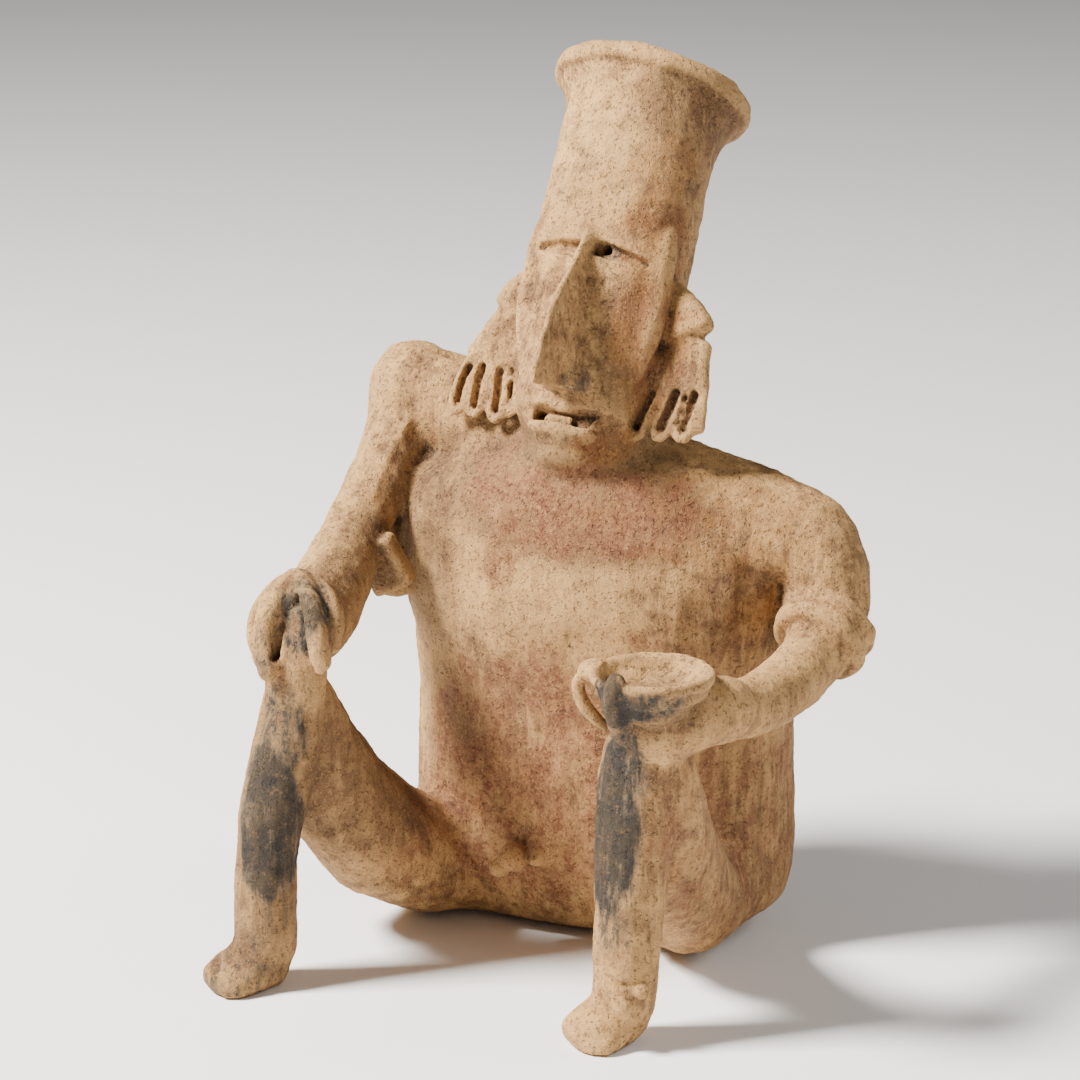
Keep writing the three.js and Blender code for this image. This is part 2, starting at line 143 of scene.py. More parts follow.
def soft_light(name, place, size, power, colour):
    """A square area light aimed at the middle of the figure."""
    lamp = bpy.data.lights.new(name, "AREA")
    lamp.shape = "SQUARE"
    lamp.size = size
    lamp.energy = power
    lamp.color = colour
    made = bpy.data.objects.new(name, lamp)
    bpy.context.collection.objects.link(made)
    made.location = place
    made.rotation_euler = (spot(0, 0, 190) - made.location).to_track_quat("-Z", "Y").to_euler()
    return made


soft_light("key_light", (-1.1, -0.85, 1.65), 0.5, 182, (1.0, 0.95, 0.88))
soft_light("fill_light", (1.4, -1.1, 0.9), 1.4, 4, (1.0, 0.95, 0.9))
soft_light("rim_light", (1.3, 0.7, 1.1), 0.9, 13, (1.0, 0.97, 0.93))

# %% [markdown]
# ## Tools for clay
# Almost every detail on this figure is a roll of clay: fingers, cords, lips, lids. One tool
# makes them all. It starts from a circle of vertices and extrudes that ring again and again
# along a smooth path, fatter or thinner as it goes, and rounds off both ends. All the rolls
# are gathered in one bmesh, in millimetres, and are melted together later.

# %% Smooth paths
def between(values, share):
    """A smooth value at a share (0 to 1) of the way through a list of vectors."""
    reach = share * (len(values) - 1)
    i = min(int(reach), len(values) - 2)
    t = reach - i
    before, after = values[max(i - 1, 0)], values[min(i + 2, len(values) - 1)]
    a, b = values[i], values[i + 1]
    slope_a, slope_b = (b - before) / 2, (after - a) / 2
    return (
        a * (2 * t**3 - 3 * t**2 + 1)
        + b * (3 * t**2 - 2 * t**3)
        + slope_a * (t**3 - 2 * t**2 + t)
        + slope_b * (t**3 - t**2)
    )


# %% Rolls of clay
RING_GAP = 2.4  # millimetres from one ring of a roll to the next
END_RINGS, END_TURN = 4, math.radians(80)  # how a roll's end is rounded off


def roll(bm, path, half, sides=18, side=(1, 0, 0), square=2.0, into=None, tip=1.0):
    """
    Lays a roll of clay along a path. `half` holds, for each point, the half-width sideways
    and the half-depth, or sideways, front and back. `square` is 2 for a round section and
    more for a boxier one. `into` is a frame that the roll is moved into.
    """
    points = [Vector(p) for p in path]
    halves = [Vector((h[0], h[1], h[2] if len(h) > 2 else h[1])) for h in half]
    corners = [Vector((c, 0, 0)) for c in (square if isinstance(square, list) else [square] * 2)]
    length = sum((b - a).length for a, b in zip(points, points[1:]))
    steps = max(6, int(length / RING_GAP))
    made = bmesh.ops.create_circle(bm, segments=sides, radius=1)["verts"]
    angles = [math.atan2(v.co.y, v.co.x) for v in made]
    everything = list(made)
    edges = list({e for v in made for e in v.link_edges})
    first_ring = None
    for step in range(-END_RINGS, steps + END_RINGS + 1):
        if step > -END_RINGS:
            grown = bmesh.ops.extrude_edge_only(bm, edges=edges)["geom"]
            made = [g for g in grown if isinstance(g, bmesh.types.BMVert)]
            edges = [g for g in grown if isinstance(g, bmesh.types.BMEdge)]
            everything += made
        share = min(max(step / steps, 0), 1)
        past = min(step, 0) if step < 0 else max(step - steps, 0)
        turn = abs(past) / END_RINGS * END_TURN
        width = between(halves, share)
        power = 2 / between(corners, share).x
        centre = between(points, share)
        ahead = between(points, min(share + 0.02, 1)) - between(points, max(share - 0.02, 0))
        ahead.normalize()
        across = Vector(side)
        across = (across - ahead * across.dot(ahead)).normalized()
        front = across.cross(ahead)
        centre += ahead * math.copysign(math.sin(turn), past) * min(width.x, width.y) * tip
        for vertex, angle in zip(made, angles):
            c, s = math.cos(angle), math.sin(angle)
            wide = math.copysign(abs(c) ** power, c) * width.x
            deep = math.copysign(abs(s) ** power, s) * (width.y if s > 0 else width.z)
            vertex.co = centre + (across * wide + front * deep) * math.cos(turn)
        if first_ring is None:
            first_ring = list(edges)
    bmesh.ops.edgeloop_fill(bm, edges=first_ring)
    bmesh.ops.edgeloop_fill(bm, edges=edges)
    if into is not None:
        bmesh.ops.transform(bm, matrix=into, verts=everything)
    skin = list({f for v in everything for f in v.link_faces})
    bmesh.ops.recalc_face_normals(bm, faces=skin)


# %% Pats and cuts
def pat(bm, centre, half, turn=(0, 0, 0), into=None):
    """An egg-shaped lump of clay, or an egg-shaped cut."""
    place = Matrix.LocRotScale(Vector(centre), Euler([math.radians(a) for a in turn]), Vector(half))
    place = into @ place if into is not None else place
    bmesh.ops.create_icosphere(bm, subdivisions=3, radius=1, matrix=place)


def slab(bm, centre, size, turn=(0, 0, 0), into=None, round_by=0.0):
    """A block with softened edges, or a cut of that shape."""
    place = Matrix.LocRotScale(Vector(centre), Euler([math.radians(a) for a in turn]), None)
    place = into @ place if into is not None else place
    made = bmesh.ops.create_cube(bm, size=1, matrix=Matrix.Diagonal((*size, 1)))["verts"]
    if round_by:
        edges = list({e for v in made for e in v.link_edges})
        rounded = bmesh.ops.bevel(
            bm, geom=edges, offset=round_by, segments=2, profile=0.5, affect="EDGES", material=-1
        )
        kept = {v for v in made if v.is_valid}
        made = list({v for f in rounded["faces"] for v in f.verts} | kept)
    bmesh.ops.transform(bm, matrix=place, verts=made)


# %% Rings of clay
def ring(bm, radius, thick, steps, place):
    """A ring: a small circle spun about Z and then moved into place."""
    before = set(bm.verts)
    start = bmesh.ops.create_circle(
        bm, segments=16, radius=thick,
        matrix=Matrix.Translation((radius, 0, 0)) @ Matrix.Rotation(math.pi / 2, 4, "X"),
    )["verts"]
    edges = list({e for v in start for e in v.link_edges})
    bmesh.ops.spin(
        bm, geom=start + edges, cent=(0, 0, 0), axis=(0, 0, 1), angle=2 * math.pi,
        steps=steps, use_merge=True,
    )
    made = [v for v in bm.verts if v not in before]
    bmesh.ops.transform(bm, matrix=place, verts=made)
    bmesh.ops.recalc_face_normals(bm, faces=list({f for v in made for f in v.link_faces}))


# %% Melting clay together
LEVELS = 20  # steps of strength, from dry to fully wet, that a soft edge is given


def clay_object(bm, name):
    """Turns a bmesh in millimetres into an object in the frame, in metres."""
    bmesh.ops.transform(bm, matrix=GROUND, verts=bm.verts)
    mesh = bpy.data.meshes.new(name)
    bm.to_mesh(mesh)
    bm.free()
    made = bpy.data.objects.new(name, mesh)
    bpy.context.collection.objects.link(made)
    return made


def settle(piece):
    """Applies every modifier on a piece to its mesh."""
    graph = bpy.context.evaluated_depsgraph_get()
    graph.update()
    done = bpy.data.meshes.new_from_object(piece.evaluated_get(graph))
    old = piece.data
    piece.modifiers.clear()
    piece.data = done
    bpy.data.meshes.remove(old)


def melt(pieces, name, grain):
    """Joins pieces into one closed skin whose faces are `grain` millimetres wide."""
    bm = bmesh.new()
    for piece in pieces:
        bm.from_mesh(piece.data)
    mesh = bpy.data.meshes.new(name)
    bm.to_mesh(mesh)
    bm.free()
    made = bpy.data.objects.new(name, mesh)
    bpy.context.collection.objects.link(made)
    for piece in pieces:
        bpy.data.objects.remove(piece)
    skin = made.modifiers.new("skin", "REMESH")
    skin.mode = "VOXEL"
    skin.voxel_size = grain * UNIT
    settle(made)
    print(name, "melted:", len(made.data.polygons), "faces")
    return made


def places(piece):
    """Every vertex of a piece, in millimetres from the mark, as an array."""
    found = np.empty(len(piece.data.vertices) * 3)
    piece.data.vertices.foreach_get("co", found)
    return (found.reshape(-1, 3) - np.array(MARK)) / UNIT


def reach(piece):
    """The least and the greatest coordinates of a piece, in millimetres from the mark."""
    found = places(piece)
    return found.min(axis=0).round(1).tolist(), found.max(axis=0).round(1).tolist()


def soften(piece, passes, strength=None):
    """Smooths a piece, all over or by a strength from 0 to 1 for each vertex."""
    wet = piece.modifiers.new("wet_hands", "SMOOTH")
    wet.factor = 0.5
    wet.iterations = passes
    if strength is not None:
        group = piece.vertex_groups.new(name="wet")
        levels = np.round(np.clip(strength, 0, 1) * LEVELS).astype(int)
        for level in range(1, LEVELS + 1):
            members = np.nonzero(levels == level)[0].tolist()
            group.add(members, level / LEVELS, "REPLACE")
        wet.vertex_group = "wet"
    settle(piece)
    piece.vertex_groups.clear()


# %% [markdown]
# ## The core of the figure
# The solid is made of flat faces. Its copy is merged, given an even skin of small faces, and
# then smoothed, as damp clay is smoothed by a wet hand. The broad torso needs many strokes
# before its facets are gone, while the thin limbs need few, or they would waste away.

# %% Copy the core
CORE_GRAIN = 1.5  # millimetres, as all grains are
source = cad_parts["seated_figure"]
bm = bmesh.new()
bm.from_mesh(source.data)
bmesh.ops.remove_doubles(bm, verts=bm.verts, dist=1e-6)
core_mesh = bpy.data.meshes.new("core")
bm.to_mesh(core_mesh)
bm.free()
core = bpy.data.objects.new("core", core_mesh)
bpy.context.collection.objects.link(core)
core = melt([core], "core", CORE_GRAIN)

# %% Smooth the core
LIMB_STROKES, TRUNK_STROKES = 14, 170


def ramp(values, low, high):
    """0 below the low value, 1 above the high one, smooth between them."""
    share = np.clip((values - low) / (high - low), 0, 1)
    return share * share * (3 - 2 * share)


def near(points, centre, half, edge=0.35):
    """1 inside an egg-shaped region, falling to 0 a little outside it."""
    away = np.linalg.norm((points - np.array(centre)) / np.array(half), axis=1)
    return 1 - ramp(away, 1, 1 + edge)


soften(core, LIMB_STROKES)
at = places(core)
barrel, seat = near(at, (-5, 10, 100), (74, 46, 125)), near(at, (-5, 16, 30), (92, 62, 30))
right_arm = near(at, (-86, 0, 170), (14, 30, 60))
soften(core, TRUNK_STROKES, np.maximum(barrel, seat) * (1 - right_arm))
print("core smoothed")

# %% [markdown]
# ## The head and its tall headdress
# On the real figure the head and the headdress are one tube, pinched flatter in front for
# the face and flared at the top into a thick rolled rim. A single roll of clay with a
# slightly square section gives the tube. The rim is trimmed with a slanting cut and gets its
# rolled lip later: a ring, squeezed to an oval and tipped back.

# %% Head and headdress
HEAD_LINE = [-12.5, 0, 26, 52, 78, 102, 114, 124, 132, 137, 141, 143]
HEAD_BACK = [-9, -1, 0, 0, 0, 0.6, 2, 4, 6, 7.4, 8.4, 9]
HEAD_WIDE = [16, 26.5, 29, 30.3, 31.2, 31.5, 31.9, 32.6, 34.2, 36.4, 38.6, 40]
HEAD_FRONT = [16, 24, 25, 25.5, 26, 26.5, 27, 28, 29.6, 31.8, 33.8, 35]
forms = bmesh.new()
roll(
    forms,
    [(0, back, z) for back, z in zip(HEAD_BACK, HEAD_LINE)],
    list(zip(HEAD_WIDE, HEAD_FRONT)),
    sides=48, square=[2.2, 2.5, 2.9, 3, 2.9, 2.5, 2.3, 2.2, 2.1, 2.1, 2.1, 2.1],
    into=HEAD, tip=0.04,
)
print("head and headdress rolled")

# %% [markdown]
# ## The face
# The potter added a long blade of a nose and a raised edge down each side of the flat face,
# and cut the rest with a stick: two slanting eye slits with a deep pit beside the nose, two
# nostrils and an open mouth. Rolls and pats add, and the cuts are gathered apart. What stands
# inside a cut, such as the teeth, the lids and the lip of the headdress, is gathered last.

# %% What the face adds
SIDE_EDGE = [(24, -9, 96), (27, -13, 78), (27.6, -13.8, 58), (26.8, -14, 38), (23, -12, 14)]
roll(
    forms,
    [(0, -20.5, 15.5), (0, -23.6, 31), (0, -24, 51), (-0.5, -24, 67), (-1, -24, 82)],
    [(10.5, 37, 4), (10.5, 32, 4), (8.5, 22.5, 4), (6, 12, 4), (4, 2.6, 4)],
    sides=40, square=1.04, into=HEAD, tip=0.04,
)
for way, plump in ((-1, 0.8), (1, 1.0)):
    roll(
        forms,
        [(x * way, y, z) for x, y, z in SIDE_EDGE],
        [(2, 2), (5.4 * plump, 5.6 * plump), (6 * plump, 6 * plump),
         (5.6 * plump, 5.8 * plump), (2.4, 2.4)],
        sides=20, into=HEAD,
    )

# %% What the face loses
cuts = bmesh.new()
EYE_START = 3.5
EYE_SLIT = [(EYE_START, -27), (11, -27.5), (18.5, -26), (26, -21.5)]
EYES = ((-1, 70.4, 0.0), (1, 71.2, 0.19))


def slanting(line, way, start, droop):
    """A line across one eye, which falls by `droop` for each millimetre outwards."""
    return [(way * x, y, start - droop * (x - EYE_START)) for x, y in line]


for way, start, droop in EYES:
    roll(
        cuts, slanting(EYE_SLIT, way, start, droop),
        [(3.2, 5.6), (3.2, 6), (2.8, 5.6), (1.4, 4)],
        sides=20, side=(0, 0, 1), square=4, into=HEAD, tip=0.4,
    )
pat(cuts, (6, -22, 71.2), (2.6, 9, 2.7), into=HEAD)
for way in (-1, 1):
    roll(
        cuts, [(6.6 * way, -38, 5), (6 * way, -38.6, 14), (4.6 * way, -41, 24)],
        [(7, 4.4), (6.6, 4.2), (1.8, 1.8)],
        sides=16, side=(0.31 * way, 0.95, 0), into=HEAD, tip=0.5,
    )
slab(cuts, (0, -26, 0.9), (28, 16, 6.2), (0, 1.5, 0), into=HEAD, round_by=0.8)
pat(cuts, (-11.2, -18, 0.8), (3.2, 10, 3.3), into=HEAD)
print("face modelled, its cuts gathered")

# %% What the headdress loses
RIM_MIDDLE, RIM_LEAN, RIM_SWAY = (0, 9, 144.8), math.radians(15), math.radians(2.9)
RIM = (
    HEAD @ Matrix.Translation(RIM_MIDDLE)
    @ Matrix.Rotation(RIM_SWAY, 4, "Y") @ Matrix.Rotation(-RIM_LEAN, 4, "X")
)
TRIM_HIGH, TRIM_WIDE, TRIM_FROM = 40, 120, 0.5
slab(cuts, (0, 0, TRIM_FROM + TRIM_HIGH / 2), (TRIM_WIDE, TRIM_WIDE, TRIM_HIGH), into=RIM)
WELL_LINE = [(0, 0, 96), (0, 0.6, 105), (0, 2.2, 117), (0, 6.6, 132), (0, 12, 146), (0, 17, 160)]
roll(
    cuts, WELL_LINE,
    [(18, 14), (25.4, 20.4), (26, 21), (28.2, 23.6), (36, 31), (37, 32)],
    sides=40, into=HEAD, tip=0.3,
)

# %% What is added inside the cuts
RIM_WIDE, RIM_DEEP, RIM_THICK = 39, 34.1, 4.2
late = bmesh.new()
ring(late, RIM_WIDE, RIM_THICK, 72, RIM @ Matrix.Diagonal((1, RIM_DEEP / RIM_WIDE, 1, 1)))
slab(late, (-2.2, -18.2, -0.5), (12, 6, 5), (0, 2, 0), into=HEAD, round_by=0.8)
slab(late, (8.4, -15, -0.4), (9, 5, 6), (0, 2, 0), into=HEAD, round_by=1.2)
roll(
    late,
    [(-14, -21.6, -2.6), (-6, -23.8, -3.3), (4, -24.1, -3.7), (12, -22, -3), (14.6, -20.4, 2)],
    [(1, 1.9), (1.1, 2.2), (1.1, 2.2), (1.1, 2), (0.9, 1.1)],
    sides=12, side=(0, 1, 0), into=HEAD,
)
LOWER_LID = [(5, -21.6), (12, -22.6), (18, -21.4), (23.5, -18.6)]
LID_BELOW = 3.8
for way, start, droop in EYES:
    roll(
        late, slanting(LOWER_LID, way, start - LID_BELOW, droop),
        [(1, 2.4), (1.3, 3), (1.3, 2.8), (1, 2)],
        sides=12, side=(0, 1, 0), into=HEAD,
    )

# %% [markdown]
# ## Ear pendants
# Each ear carries a cap of clay from which doubled cords hang in a fan. A cord is one thin
# roll bent into a hairpin, so its two strands leave a dark slot between them. Each loop is
# given by the line down its middle, and the strands run beside that line. A thin sheet behind
# the cords closes the slots, as the wall of clay does on the real figure.

# %% Loops of cord
CORD_BACK, SLOT_BACK = -6.0, -8.2
TOP_SHARE = 0.35  # a loop starts this narrow under its cap, as a share of its full width


def cord_loop(line, gap, thick):
    """A hairpin of cord round a middle line of (sideways, up) points, top first."""
    gaps = [gap * TOP_SHARE] + [gap] * (len(line) - 1)
    left = [(x - apart, CORD_BACK, z) for apart, (x, z) in zip(gaps, line)]
    right = [(x + apart, CORD_BACK, z) for apart, (x, z) in zip(gaps, line)]
    foot = (line[-1][0], CORD_BACK, line[-1][1] - gap * 1.15)
    path = left + [foot] + right[::-1]
    roll(forms, path, [(thick, thick * 1.15)] * len(path), sides=12, side=(0, 1, 0), into=HEAD)
    slot = [(x, SLOT_BACK, z) for x, z in line[1:]]
    wide = gap - thick * 0.62
    roll(cuts, slot, [(wide, 4.4)] * len(slot), sides=16, square=5, into=HEAD, tip=0.4)


def crease(line, wide=0.8, deep=1.6):
    """A shallow line pressed into a pendant with a stick."""
    roll(cuts, line, [(wide, deep)] * len(line), sides=10, into=HEAD, tip=0.4)


roll(forms, [(31, -5, 62), (37, -5, 54), (42, -5, 44)], [(3, 4), (7, 6), (10.5, 6.6)],
     sides=24, into=HEAD, tip=0.35)
roll(forms, [(43, -4.6, 41), (42, -5, 32), (40.5, -5, 23)], [(9.6, 4), (10.6, 3.8), (12.6, 2.4)],
     sides=24, into=HEAD, tip=0.4)
cord_loop([(35.5, 31), (30.8, 19), (26.2, 2.5)], 2.7, 1.75)
cord_loop([(42.5, 31), (41.2, 20), (36.6, 3)], 2.8, 1.8)
cord_loop([(49.2, 31), (49.2, 20), (46.4, 3.5)], 2.6, 1.75)

roll(forms, [(-30, -5, 62), (-36, -5, 54), (-38.6, -5, 47)], [(3.5, 4.5), (7.6, 6), (8.4, 6.4)],
     sides=24, into=HEAD, tip=0.35)
roll(forms, [(-39, -4.5, 44), (-43, -4.5, 32), (-45, -4.5, 24)], [(7, 3.6), (10, 3.2), (12.5, 2.2)],
     sides=24, into=HEAD, tip=0.4)
cord_loop([(-43, 42), (-52.6, 21), (-55, 13), (-55.4, 4)], 2.4, 1.75)
cord_loop([(-41, 42), (-46.4, 22), (-47.6, 13), (-47.4, 3.5)], 2.5, 1.8)
cord_loop([(-37.5, 42), (-38.6, 21), (-38, 12), (-37.4, 2.5)], 2.5, 1.8)
cord_loop([(-34.6, 42), (-33, 22), (-32.2, 12), (-31.8, 4)], 1.9, 1.5)

for sheet, wide in (
    ([(41, -2.6, 36), (40.5, -2.6, 20), (39.2, -2.6, 5)], (10, 12.5, 12)),
    ([(-42, -2.6, 36), (-45, -2.6, 20), (-45, -2.6, 6)], (9, 12.5, 13)),
):
    roll(late, sheet, [(w, 1.8) for w in wide], sides=24, into=HEAD)
print("pendants hung")

# %% Creases in the pendants
crease([(31, -10.6, 41.5), (38, -12.2, 38.6), (46, -12, 38.2), (55, -9, 40.5)], 1.2, 2.6)
crease([(34.5, -8.8, 37), (32.5, -8.8, 26), (30.6, -8.6, 21)])
crease([(39.5, -9, 37), (38.4, -9, 26), (37, -8.6, 21)])
crease([(45, -9, 37), (45.6, -9, 26), (45.4, -8.6, 21)])
crease([(36.2, -8.4, 21), (34, -8, 10), (31.4, -7.6, -2)], 0.8, 3.4)
crease([(45.4, -8.4, 21), (44, -8, 11), (41.6, -7.6, -1)], 0.8, 3.4)
crease([(-42.4, -8, 10), (-42.4, -7.6, 4), (-42.2, -7.4, -2)], 0.8, 3)
crease([(-31, -10, 44), (-38, -11.4, 43.6), (-47, -9.6, 44.4)], 1, 2.4)
crease([(-34, -8.2, 42), (-34.6, -8.2, 30), (-35.6, -8, 20)])
crease([(-38, -8.4, 42), (-41.4, -8.2, 30), (-43, -8, 21)])
crease([(-41.6, -8.2, 42), (-47.4, -8, 30), (-50.4, -7.6, 21)])

# %% [markdown]
# ## Hands
# Each hand is a lump with a few rolls laid over it. On the right knee two thick fingers part
# over the kneecap and a thin one lies outside each of them. A stick drawn between them, and
# along both sides of the kneecap, keeps them apart. The left hand grips the bowl with one
# long finger in front of it.

# %% Right hand
pat(forms, (-86, -105, 148), (16.5, 17.5, 19))
pat(forms, (-83.5, -113, 136), (12.5, 13.5, 15))
FINGERS = [
    (3.3, [(-95, -103, 163), (-101, -112, 154), (-101.5, -118, 143), (-96, -122, 133)]),
    (5.0, [(-88, -107, 165.5), (-90.5, -121, 158), (-91.5, -127.5, 146), (-87.5, -130.5, 132)]),
    (5.0, [(-86, -107, 165.5), (-74.5, -120, 161), (-68, -126.5, 150), (-65.5, -127.5, 137)]),
    (3.3, [(-81, -103, 165), (-70, -111, 160), (-65, -116, 152), (-64.5, -118, 142)]),
]
FINGER_TAPER = ((1, 1), (1, 1), (0.95, 0.9), (0.8, 0.6))
for thick, line in FINGERS:
    roll(forms, line, [(thick * wide, thick * deep) for wide, deep in FINGER_TAPER], sides=16)
roll(forms, [(-81, -112, 158), (-79.6, -116, 148), (-80, -118.5, 136), (-82, -119, 122)],
     [(4, 5), (8, 7), (12, 9), (13, 10)], sides=24)
GAPS = [
    (1.5, [(-81.4, -125, 161.5), (-84, -126, 155), (-85.2, -127.5, 147.8), (-85, -128, 138)]),
    (1.7, [(-79.4, -125, 161.5), (-74.6, -126, 154.7), (-72, -127, 145), (-68.6, -127.5, 136)]),
    (0.9, [(-93.5, -118, 161), (-97, -120, 155), (-99.6, -122, 146), (-100, -123.5, 137)]),
    (0.9, [(-71.5, -119, 160), (-68, -121, 153.5), (-65.8, -122, 145)]),
]
for wide, line in GAPS:
    roll(cuts, line, [(wide, 5.5)] * len(line), sides=12, tip=0.6)
pat(cuts, (-80.4, -123, 160.4), (2.6, 6, 4), (0, 8, 0))

# %% Left hand, and the finger in front of the bowl
roll(forms, [(94, -94, 133), (87, -108, 132), (76, -116, 128)],
     [(12, 13), (12, 13), (14, 14)], sides=24)
roll(forms, [(69, -140.5, 153), (67, -138.5, 145), (65, -130, 134), (64, -122, 123)],
     [(4.1, 4.1), (4.3, 4.3), (4.3, 4.3), (4, 4)], sides=16)
roll(forms, [(49, -119, 150.5), (43.5, -120, 144), (45.5, -118, 134), (53, -114, 125)],
     [(2.6, 2.6), (2.7, 2.7), (2.7, 2.7), (2.4, 2.4)], sides=12)
pat(forms, (52, -117, 148.5), (9, 9, 4.4), (0, 12, 0))

# %% [markdown]
# ## The bowl
# A small cup, turned in the hand: its outline is a line of points from the middle of its
# foot over the rim to the middle of its floor, spun once round. The space above its floor is
# spun the same way and cut out of whatever clay was pressed into it.

# %% Spin the bowl
BOWL_MIDDLE = (74, -118, 151)
BOWL_RADIUS, BOWL_HEIGHT, BOWL_WALL = 24.6, 17.0, 3.6
OUTSIDE = [
    (0, -1), (0.53, -1), (0.65, -0.82), (0.75, -0.56), (0.88, -0.44), (0.93, -0.2), (1, -0.09),
]
INSIDE = [(0.86, -0.2), (0.62, -0.38), (0.29, -0.47), (0, -0.49)]


def spun(bm, outline, middle, steps=64):
    """A closed form from an outline of (out, up) points, spun about an upright axis."""
    line = [bm.verts.new(Vector((out, 0, up)) + Vector(middle)) for out, up in outline]
    edges = [bm.edges.new(pair) for pair in zip(line, line[1:])]
    before = set(bm.verts) - set(line)
    bmesh.ops.spin(
        bm, geom=line + edges, cent=middle, axis=(0, 0, 1), angle=2 * math.pi, steps=steps,
        use_merge=True,
    )
    made = [v for v in bm.verts if v not in before]
    bmesh.ops.remove_doubles(bm, verts=made, dist=1e-4)
    made = [v for v in made if v.is_valid]
    bmesh.ops.recalc_face_normals(bm, faces=list({f for v in made for f in v.link_faces}))


lip_inside = BOWL_RADIUS - BOWL_WALL
outside = [(out * BOWL_RADIUS, up * BOWL_HEIGHT) for out, up in OUTSIDE]
inside = [(out * lip_inside, up * BOWL_HEIGHT) for out, up in INSIDE]
rim = [
    (BOWL_RADIUS - 0.2, 0.9), (BOWL_RADIUS - 1.4, 1.6),
    (lip_inside + 0.8, 1.3), (lip_inside - 0.6, 0.2),
]
spun(late, outside + rim + inside, BOWL_MIDDLE)
spun(cuts, [(0, 30), (lip_inside, 30), (lip_inside, 0)] + inside, BOWL_MIDDLE)

# %% [markdown]
# ## Arm band
# Two thick rolls go round the left elbow, side by side, and their end lies over them as a
# small knob. Each is a ring turned across the arm, and a thinner ring cuts the groove between.

# %% Rolls of the band
def across_arm(middle, axis):
    """A frame whose Z runs along the arm."""
    turn = Vector((0, 0, 1)).rotation_difference(Vector(axis)).to_matrix().to_4x4()
    return Matrix.Translation(middle) @ turn


for middle, axis in (
    ((102, -8.6, 144.8), (-0.1, -0.78, -0.5)),
    ((101.5, -16.4, 140.2), (-0.12, -0.82, -0.44)),
):
    ring(forms, 15.8, 4.6, 48, across_arm(middle, axis))
ring(cuts, 20.9, 1.3, 48, across_arm((101.8, -12.5, 142.5), (-0.11, -0.8, -0.47)))
pat(late, (118, -10, 143), (4.8, 6, 5.6))

# %% [markdown]
# ## Small worn parts
# The loins keep a broken stub, two pats one on the other. The feet are plain lumps: the right
# one has lost a flake off its toes, which leaves a low step, and the left one has short lines
# for toes, with a pit and a small lump at the ankle. A flat tab of clay fills the right armpit
# and has a crevice beside it, and a soft ridge runs down the right arm.

# %% Stub, feet and arm
pat(late, (-21.5, -45, 38), (6.4, 8, 5.4), (10, 30, 0))
pat(late, (-25.5, -50, 34), (4.2, 4.2, 3.8), (0, 30, 0))
slab(cuts, (-110, -150, 14), (14, 30, 12), (16, -20, 24), round_by=2.5)
roll(cuts, [(-97, -152, 12), (-99.5, -155, 6), (-101, -156, 2)], [(0.7, 1.6)] * 3, sides=10)
pat(cuts, (70.5, -133.5, 28.4), (3.4, 3.4, 2))
pat(late, (75.4, -128.6, 25), (3.8, 3.8, 3.2))
for x, y in ((51.5, -144), (57.5, -148), (64, -147)):
    roll(cuts, [(x, y, 15), (x - 0.8, y - 3, 7), (x - 1, y - 4, 1)], [(0.8, 2.2)] * 3, sides=10)
slab(forms, (-81.5, -44, 156), (19, 9, 24), (14, -24, 6), round_by=1.6)
roll(cuts, [(-80, -49, 174), (-74.5, -48, 168), (-69, -47, 158), (-65.5, -46, 148)],
     [(1.2, 3)] * 4, sides=12)
ARM_RIDGE = [
    (-84, -11.2, 212.6), (-87.5, -16.4, 205.2), (-89.8, -22, 198.4),
    (-89.8, -32, 189.4), (-88.6, -42, 181.6),
]
roll(forms, ARM_RIDGE, [(2, 2), (3.2, 3.2), (3.2, 3.2), (2.8, 2.8), (1.6, 1.6)], sides=16)

# %% [markdown]
# ## One skin
# The added forms are melted into the core. The nose is pinched, the cuts are taken out, the
# small parts that stand inside the cuts are melted in, and a last light smoothing rounds every
# edge, as slip, burnishing and long burial do. The cuts are melted into one closed skin as
# well, because a boolean cut is quick and clean between two closed skins.

# %% Melt the forms into the core
BODY_GRAIN, CUT_GRAIN = 1.0, 0.8
LIGHT_STROKES = 3
body = melt([core, clay_object(forms, "forms")], "body", BODY_GRAIN)
soften(body, LIGHT_STROKES)
print("forms joined to the core")

# %% [markdown]
# ## Pinching the nose
# The potter pinches the nose between finger and thumb until it is a thin blade. Here every
# point in front of the face has a greatest distance from the nose's middle: half the nose's
# width at that height, less and less towards its ridge. A point that lies farther out is moved
# in sideways. A few smoothing strokes then soften the ridge and the cap of the left pendant.

# %% Pinch
def in_head_frame(points):
    """Points in millimetres from the mark, seen in the head's own frame."""
    back = np.array(HEAD.inverted())
    return points @ back[:3, :3].T + back[:3, 3]


NOSE_UP, NOSE_HALF = (12, 31, 51, 67, 82, 90), (9.4, 9.2, 7.6, 5.6, 4, 4)
NOSE_LONG, NOSE_MIDDLE = (37, 32, 22.5, 12, 3, 3), (0, 0, 0, -0.5, -1, -1)
NOSE_ROOT, FACE_FRONT, RIDGE_HALF = -21, -26.6, 1.7
NOSE_FOOT, NOSE_TOP, NOSE_REACH = 10, 80, 15
FADE = 2  # millimetres over which the pinch sets in, in front of the face
face_points = in_head_frame(places(body))
x, y, z = face_points.T
outwards = 1 - (NOSE_ROOT - y) / np.interp(z, NOSE_UP, NOSE_LONG)
widest = np.maximum(np.interp(z, NOSE_UP, NOSE_HALF) * outwards, RIDGE_HALF)
off_middle = x - np.interp(z, NOSE_UP, NOSE_MIDDLE)
on_nose = (z > NOSE_FOOT) & (z < NOSE_TOP) & (y < FACE_FRONT)
on_nose &= np.abs(off_middle) < NOSE_REACH
spare = np.maximum(np.abs(off_middle) - widest, 0) * on_nose
pinched = face_points.copy()
